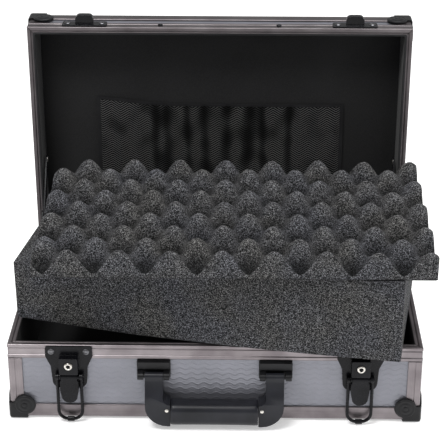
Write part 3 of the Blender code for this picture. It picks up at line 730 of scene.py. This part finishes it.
def fold_shade(x, part, folds):
    """Painted shade of the mesh: darker in the creases where a gather bunches it together, with a random
    change of tone.
    """
    value = 1.0
    for centre, width, _, lean in folds:
        offset = (x - centre - lean * part * FOLD_LEAN) / (1.15 * width)
        value -= 0.95 * math.exp(-offset * offset) * (0.35 + 0.65 * part)
    return max(0.08, value + ripple((x, part * 0.1, 0), 60.0, 0.7, 9.0))


def pocket_mesh(folds):
    """Points, faces and painted shade of the mesh, row by row from its bottom to its mouth."""
    across, up = POCKET_STEPS
    points, faces, shades = [], [], []
    for j in range(up + 1):
        for i in range(across + 1):
            x = -POCKET_HALF + 2 * POCKET_HALF * i / across
            part = j / up
            y = POCKET_BOTTOM + (pocket_mouth(x) - POCKET_BOTTOM) * part
            points.append((x, y, POCKET_PANEL_Z - pocket_height(x, part, folds)))
            shades.append(fold_shade(x, part, folds))
    for j in range(up):
        for i in range(across):
            a = j * (across + 1) + i
            faces.append((a, a + 1, a + across + 2, a + across + 1))
    return points, faces, shades


def webbing(name, path, wide, width, finish):
    """Strip sewn on the pocket along a path."""
    strip = strip_along(path, wide, width, WEBBING_THICK)
    return piece(name, strip, finish["webbing"], "lid", LID_PLACE, 40)


def pocket_hem(folds, finish):
    """Elastic hem along the pocket's mouth."""
    path = []
    for x in np.linspace(-POCKET_HALF, POCKET_HALF, 160):
        path.append((x, pocket_mouth(x), POCKET_PANEL_Z - pocket_height(x, 1.0, folds) - 0.3 * MM))
    return webbing("pocket_hem", path, (0, 1, 0), HEM_WIDTH, finish)


def pocket_band(side, sign, finish):
    """Band up one end of the pocket."""
    steps = 40
    x = sign * (POCKET_HALF - 1.2 * MM)
    z = POCKET_PANEL_Z - 1.3 * MM
    top = pocket_mouth(x) - 1.5 * MM
    path = [(x, POCKET_BOTTOM + (top - POCKET_BOTTOM) * k / steps, z) for k in range(steps + 1)]
    return webbing(f"pocket_band_{side}", path, (1, 0, 0), BAND_WIDTH, finish)


def make_pocket(finish):
    """Gathered mesh pocket with an elastic hem and two side bands."""
    folds = pocket_folds()
    points, faces, shades = pocket_mesh(folds)
    bm = from_arrays(points, faces)
    pocket = piece("lid_mesh_pocket", bm, finish["mesh"], "lid", LID_PLACE, 180)
    # the fold values: painted shade in the creases of the gathers
    keep_values(pocket, "fold", shades)
    thicken = pocket.modifiers.new("cloth", "SOLIDIFY")
    thicken.thickness = CLOTH_THICK
    thicken.offset = 0
    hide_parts("mesh_pocket")
    trim = [pocket_hem(folds, finish)]
    trim += [pocket_band(side, sign, finish) for side, sign in SIDES]


def strip_along(path, wide, width, thick):
    """A bmesh of a flat strip along a path; wide is the direction of its width."""
    wide = Vector(wide)
    points, faces = [], []
    for k, place in enumerate(path):
        place = Vector(place)
        before = Vector(path[max(0, k - 1)])
        after = Vector(path[min(len(path) - 1, k + 1)])
        along = (after - before).normalized()
        out = along.cross(wide).normalized()
        for a, b in ((-1, -1), (1, -1), (1, 1), (-1, 1)):
            points.append(place + wide * (a * width / 2) + out * (b * thick / 2))
    for k in range(len(path) - 1):
        for a in range(4):
            b = (a + 1) % 4
            faces.append((k * 4 + a, k * 4 + b, k * 4 + 4 + b, k * 4 + 4 + a))
    last = 4 * (len(path) - 1)
    faces += [(3, 2, 1, 0), (last, last + 1, last + 2, last + 3)]
    return from_arrays(points, faces)


# ---------------------------------------------------------------- foam

CRATE_PITCH_X = 44 * MM
CRATE_PITCH_Y = 49 * MM
CRATE_FIRST_PEAK = 31.2 * MM
CRATE_VALLEY = 4.5 * MM           # heights above the sheet's underside
CRATE_PEAK = 26.5 * MM
CRATE_EDGE = 0.5 * MM
CRATE_EDGE_DROP = 0.35 * MM
CRATE_CHAMFER = 1.5 * MM
CRATE_STEP = 1.5 * MM
CRATE_FULLNESS = 0.85             # below 1, the peaks are fuller than the valleys
# the wall's painted light, between the cut edge's full painted light and the underside's painted shadow
WALL_SHADE = 0.85


def crate_lines(length, step):
    """Coordinates across the sheet, with one extra line just inside each cut edge."""
    inner = np.linspace(CRATE_EDGE, length - CRATE_EDGE, round(length / step))
    return [0.0, *inner, length]


def crate_rise(u, v):
    """How far up the sheet's waves a place is, from 0 in a valley to 1 on a peak."""
    swing_x = math.cos(2 * math.pi * (u - CRATE_FIRST_PEAK) / CRATE_PITCH_X)
    swing_y = math.cos(2 * math.pi * v / CRATE_PITCH_Y)
    return ((1 + swing_x * swing_y) / 2) ** CRATE_FULLNESS


def crate_points(low, size):
    """Top and bottom points of the sheet row by row, its top's painted light (painted shade in the valleys,
    full painted light on the cut edges), and a row's length.
    """
    inner = Vector([1 - 2 * CRATE_CHAMFER / size[axis] for axis in (0, 1)])
    across, deep = crate_lines(size.x, CRATE_STEP), crate_lines(size.y, CRATE_STEP)
    top, bottom, shades = [], [], []
    for v in deep:
        for u in across:
            rise = crate_rise(u, v)
            on_cut = u in (across[0], across[-1]) or v in (deep[0], deep[-1])
            place = Vector((low.x + u, low.y + v, low.z))
            unevenness = ripple(place, 60.0, 0.9 * MM, 1.0) + ripple(place, 420.0, 0.35 * MM, 5.0)
            height = CRATE_VALLEY + (CRATE_PEAK - CRATE_VALLEY) * rise + unevenness
            height -= CRATE_EDGE_DROP if on_cut else 0
            top.append(place + Vector((0, 0, min(height, size.z))))
            bottom.append(low + Vector((CRATE_CHAMFER + u * inner.x, CRATE_CHAMFER + v * inner.y, 0)))
            # painted light: full on the cut edges, the rise of the waves elsewhere, so the valleys get
            # painted shade
            shades.append(1.0 if on_cut else rise)
    return top, bottom, shades, len(across)


def crate_rim(row, rows):
    """Numbers of the points round the sheet's edge, in order."""
    rim = list(range(row)) + [j * row + row - 1 for j in range(1, rows)]
    rim += [(rows - 1) * row + i for i in range(row - 2, -1, -1)]
    return rim + [j * row for j in range(rows - 2, 0, -1)]


def crate_faces(row, rows, rim):
    """Faces of the sheet's top and bottom, and of its wall, which has a ring of points of its own."""
    faces = []
    bottom, wall = row * rows, 2 * row * rows
    for j in range(rows - 1):
        for i in range(row - 1):
            a = j * row + i
            faces.append((a, a + 1, a + row + 1, a + row))
            faces.append((bottom + a, bottom + a + row, bottom + a + row + 1, bottom + a + 1))
    for k, a in enumerate(rim):
        j = (k + 1) % len(rim)
        b = rim[j]
        faces.append((a, wall + k, wall + j, b))
        faces.append((wall + k, bottom + a, bottom + b, wall + j))
    return faces


def make_egg_foam(finish):
    """Egg-crate sheet: staggered round peaks, cut straight through a row at its front."""
    low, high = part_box("egg_foam")
    top, bottom, shades, row = crate_points(low, high - low)
    rows = len(top) // row
    rim = crate_rim(row, rows)
    wall = [Vector((top[a].x, top[a].y, low.z + CRATE_CHAMFER)) for a in rim]
    bm = from_arrays(top + bottom + wall, crate_faces(row, rows, rim))
    foam = piece("egg_crate_foam", bm, finish["crate"], "egg_foam", WORLD_PLACE, 50)
    # painted shadow: the underside's ring is painted black as a dark line under the sheet; the wall's ring
    # sits between it and the top
    keep_values(foam, "rise", shades + [0.0] * len(bottom) + [WALL_SHADE] * len(wall))
    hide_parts("egg_foam")
    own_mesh(foam)


BLOCK_SIZE = Vector((346, 190, 78.5)) * MM
BLOCK_YAW = math.radians(-9.5)
BLOCK_ROUND = 1.6 * MM
BLOCK_STEP = 4.5 * MM
BLOCK_CURL = 9.5 * MM             # how far the underside's left end lifts
BLOCK_SAG = 12 * MM               # how far the top's left end droops
BLOCK_BENT_PART = 0.7             # share of the length that is bent


def make_foam_block(finish):
    """Thick block with soft edges. Its left end's underside curls up and its top droops."""
    low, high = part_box("foam_block")
    points, faces = soft_box(tuple(BLOCK_SIZE / 2), BLOCK_ROUND, BLOCK_STEP)
    for point in points:
        along = point[0] / BLOCK_SIZE.x + 0.5
        depth = 0.5 - point[2] / BLOCK_SIZE.z
        if along < BLOCK_BENT_PART:
            bend = (1 - along / BLOCK_BENT_PART) ** 2
            point[2] += bend * (BLOCK_CURL * depth - BLOCK_SAG * (1 - depth))
        point[1] += ripple(point, 11.0, 1.1 * MM, 2.0)
        point[2] += abs(ripple(point, 16.0, 0.7 * MM, 8.0)) * depth
        point[0] += ripple(point, 13.0, 0.6 * MM, 4.0)
    place = Matrix.Translation((low + high) / 2) @ Matrix.Rotation(BLOCK_YAW, 4, "Z")
    bm = from_arrays(points, faces)
    block = piece("foam_insert_block", bm, finish["foam"], "foam_block", place, 180)
    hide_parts("foam_block")


# ---------------------------------------------------------------- small hardware

# Turned shapes, as (radius, height) in mm from the foot's edge to the middle of the top
BOSS = [
    (9.1, -0.1), (8.9, 0.2), (8.0, 0.5), (7.2, 0.2), (6.2, 0.12),
    (5.2, 0.75), (3.2, 0.95), (2.6, 0.6), (2.1, 1.0), (0, 1.15),
]
SCREW = [(2.9, -0.1), (2.9, 0.25), (2.3, 0.8), (1.35, 1.0), (1.1, 0.35), (0, 0.3)]
RIVET = [(3.1, -0.1), (3.1, 0.15), (2.6, 0.38), (1.6, 0.5), (0, 0.55)]
STUD = [(2.4, -0.1), (2.4, 0.6), (2.0, 1.3), (1.0, 1.7), (0, 1.8)]
KEY_FACE = [(1.75, -0.5), (1.75, 0.15), (1.5, 0.3), (0, 0.3)]
GRIP_RIVET = [(1.7, -0.1), (1.7, 0.3), (1.2, 0.7), (0, 0.9)]
SLEEVE = [(1.9, 0), (2.3, 0.4), (2.3, 6.0), (1.9, 6.4), (0, 6.4)]
KEY_RING = [(3.3, -0.1), (3.3, 0.5), (2.9, 0.85), (2.2, 0.85), (1.8, 0.4), (1.8, -0.6), (0, -0.65)]

BOSS_INSET = 13 * MM
PLATE_FACE = HALF_DEPTH + 1.8 * MM       # outer face of the latch and striker plates
LEAF_FACE = HALF_DEPTH + 1.7 * MM        # outer face of the hinge's leaves
LATCH_SCREW_X, LATCH_SCREW_Z = 15.5 * MM, 71 * MM
STRIKER_SCREW_X = 16.5 * MM
STUD_X = 57 * MM
LID_SCREW_Z = LID_RIM_Z + 7 * MM
HINGE_SCREW_Z = {"base": 67 * MM, "lid": 89 * MM}
HINGE_SCREW_X = range(-125, 126, 50)     # in mm
LINK_END = 4 * MM                        # from a stay link's end to its rivet
WIRE_MIDDLE = 1.5 * MM


def in_metres(profile):
    """A turned shape's radii and heights in metres."""
    return [(radius * MM, height * MM) for radius, height in profile]


def knobs(name, profile, places, finish, body, place=None):
    """One piece holding the same turned shape at several places: [(centre, direction), ...]."""
    bm = bmesh.new()
    for centre, direction in places:
        lathe(bm, in_metres(profile), facing(centre, direction))
    return piece(name, bm, finish, body, place, 40)


def make_corner_bosses(finish):
    """Round raised lobe with its rivet on each showing face of the corner caps."""
    for side, sx in SIDES:
        for end, sy in ENDS:
            x, y = sx * (HALF_WIDTH - BOSS_INSET), sy * (HALF_DEPTH - BOSS_INSET)
            for part, z, place in (
                ("base", FOOT + BOSS_INSET, BASE_PLACE),
                ("lid", LID_TOP_Z - BOSS_INSET, LID_PLACE),
            ):
                spots = [
                    ((x, sy * (HALF_DEPTH + FOOT), z), (0, sy, 0)),
                    ((sx * (HALF_WIDTH + FOOT), y, z), (sx, 0, 0)),
                ]
                if part == "lid":
                    spots.append(((x, y, LID_TOP_Z + FOOT), (0, 0, 1)))
                knobs(f"{part}_boss_{end}_{side}", BOSS, spots, finish["cap"], part, place)


def make_screws(finish):
    """Latch, striker and hinge screws, and the lid's two studs."""
    front, back = (0, -1, 0), (0, 1, 0)
    for side, sign in SIDES:
        x = sign * LATCH_X
        spots = [((x + dx, -PLATE_FACE, LATCH_SCREW_Z), front) for dx in (-LATCH_SCREW_X, LATCH_SCREW_X)]
        knobs(f"latch_screws_{side}", SCREW, spots, finish["screw"], "base")
        spots = [((x + dx, -PLATE_FACE, LID_SCREW_Z), front) for dx in (-STRIKER_SCREW_X, STRIKER_SCREW_X)]
        knobs(f"striker_screws_{side}", SCREW, spots, finish["screw"], "lid", LID_PLACE)
    studs = [((sign * STUD_X, -HALF_DEPTH, LID_SCREW_Z), front) for _, sign in SIDES]
    knobs("lid_studs", STUD, studs, finish["black"], "lid", LID_PLACE)
    for body, place in (("base", BASE_PLACE), ("lid", LID_PLACE)):
        spots = [((x * MM, LEAF_FACE, HINGE_SCREW_Z[body]), back) for x in HINGE_SCREW_X]
        knobs(f"hinge_{body}_screws", SCREW, spots, finish["nickel"], body, place)


def link_end(node, sign, top):
    """The point on a stay link's inner face over the rivet at its foot or at its top."""
    low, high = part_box(node)
    x = high.x if sign < 0 else low.x
    if top:
        return Vector((x, high.y - LINK_END, high.z - LINK_END))
    return Vector((x, low.y + LINK_END, low.z + LINK_END))


def make_stay_rivets(finish):
    """Bright rivet heads at the stays' feet, elbows and upper ends."""
    nickel = finish["nickel"]
    for side, sign in SIDES:
        inward = (-sign, 0, 0)
        for node in (f"stay_lower_{side}", f"stay_upper_{side}"):
            spots = [(link_end(node, sign, False), inward)]
            knobs(f"{node}_rivet", RIVET, spots, nickel, node, WORLD_PLACE)
        spots = [(link_end(f"stay_upper_{side}", sign, True), inward)]
        knobs(f"stay_pin_{side}", RIVET, spots, nickel, "lid", WORLD_PLACE)


def make_locks(finish):
    """Bright key ring round each keyhole, and in its middle a dark disc and slot, painted shade that stands
    for the keyhole's depth.
    """
    front = (0, -1, 0)
    slot_low, slot_high = (-0.55 * MM, -0.6 * MM, -1.9 * MM), (0.55 * MM, 0.15 * MM, 1.9 * MM)
    for side, _ in SIDES:
        low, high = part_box(f"lock_cylinder_{side}")
        centre = Vector(((low.x + high.x) / 2, low.y, (low.z + high.z) / 2))
        body = f"lock_{side}"
        spots = [(centre, front)]
        knobs(f"key_ring_{side}", KEY_RING, spots, finish["nickel"], body, WORLD_PLACE)
        bm = bmesh.new()
        lathe(bm, in_metres(KEY_FACE), facing((0, 0, 0), front))
        slab(bm, slot_low, slot_high, 0.1 * MM)
        piece(f"keyhole_{side}", bm, finish["hole"], body, Matrix.Translation(centre))


def make_bail_sleeves(finish):
    """Small sleeve round the middle of each wire loop's bottom."""
    half_length = SLEEVE[-1][1] / 2 * MM
    for side, _ in SIDES:
        body = f"latch_bail_{side}"
        low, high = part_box(body)
        start = Vector(((low.x + high.x) / 2 - half_length, (low.y + high.y) / 2, low.z + WIRE_MIDDLE))
        spots = [(start, (1, 0, 0))]
        knobs(f"bail_sleeve_{side}", SLEEVE, spots, finish["black"], body, WORLD_PLACE)


def grip_stations():
    """Places along the grip from -1 to 1, and its thickness there: a slight waist and rounded ends."""
    end = [(0.985, 0.985), (1.0, 0.94)]
    waist = [(k / 12 - 1, 0.97 + 0.03 * (k / 12 - 1) ** 2) for k in range(1, 24)]
    return [(-part, scale) for part, scale in reversed(end)] + waist + end


def make_grip(finish):
    """Padded grip, and the rivets that hold it to the arms."""
    low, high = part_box("handle_grip")
    middle, half = (low + high) / 2, (high - low) / 2
    stations = grip_stations()
    outline = rounded(half.y, half.z, 7.5 * MM, 7)
    count = len(outline)
    points, faces = [], []
    for part, scale in stations:
        points += [(part * (half.x - 0.1 * MM), y * scale, z * scale) for y, z in outline]
    for k in range(len(stations) - 1):
        for i in range(count):
            j = (i + 1) % count
            faces.append((k * count + i, k * count + j, (k + 1) * count + j, (k + 1) * count + i))
    faces += [range(count), range(len(points) - count, len(points))]
    bm = from_arrays(points, faces)
    place = Matrix.Translation(middle)
    grip = piece("handle_soft_grip", bm, finish["rubber"], "handle", place, 50)
    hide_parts("handle_grip")
    out, forward, up = half.x + 3.2 * MM, low.y + 2.4 * MM, middle.z + 5.5 * MM
    spots = [((middle.x + sign * out, forward, up), (0, -1, 0)) for _, sign in SIDES]
    knobs("grip_rivets", GRIP_RIVET, spots, finish["nickel"], "handle", WORLD_PLACE)


def make_finishes():
    """Every finish by the name that the pieces ask for."""
    return {
        "metal_across": aluminium("metal_across", 0),
        "metal_deep": aluminium("metal_deep", 1),
        "metal_tall": aluminium("metal_tall", 2),
        # the lid's rims and top frame: the same aluminium, darkened as painted shade
        "lid_across_painted_shade": aluminium("lid_across_painted_shade", 0, 0.6),
        "lid_tall_painted_shade": aluminium("lid_tall_painted_shade", 2, 0.45),
        "panel_front": embossed_panel("panel_front", 0, 2),
        "panel_side": embossed_panel("panel_side", 1, 2),
        "panel_flat": embossed_panel("panel_flat", 0, 1),
        "cap": black_plastic("cap_plastic", (0.007, 0.007, 0.008), 0.36),
        "rubber": black_plastic("handle_rubber", (0.012, 0.0125, 0.016), 0.3),
        "seal": black_plastic("seal_rubber", (0.012, 0.012, 0.013), 0.7),
        # painted shade of the keyholes
        "hole": black_plastic("keyhole_painted_shade", (0.004, 0.004, 0.004), 0.8),
        "black": black_metal("black_metal"),
        "screw": bright_metal("screw_metal", (0.16, 0.16, 0.17), 0.25),
        "nickel": bright_metal("nickel_metal"),
        "steel": bright_metal("steel_metal", (0.5, 0.49, 0.49), 0.3),
        "felt": felt("lining_felt"),
        "foam": open_foam("charcoal_foam"),
        # the crate's foam: the same foam with painted light and shade
        "crate": open_foam("crate_foam", with_painted_light=True),
        "mesh": zigzag_mesh("pocket_mesh"),
        "webbing": black_plastic("pocket_webbing", (0.011, 0.011, 0.012), 0.85),
    }


def main():
    bpy.context.scene.view_settings.view_transform = "Standard"
    make_stage()
    finish = make_finishes()
    dress_frame(finish)
    dress_hardware(finish)
    make_linings(finish)
    make_pocket(finish)
    make_egg_foam(finish)
    make_foam_block(finish)
    make_corner_bosses(finish)
    make_screws(finish)
    make_stay_rivets(finish)
    make_locks(finish)
    make_bail_sleeves(finish)
    make_grip(finish)


main()
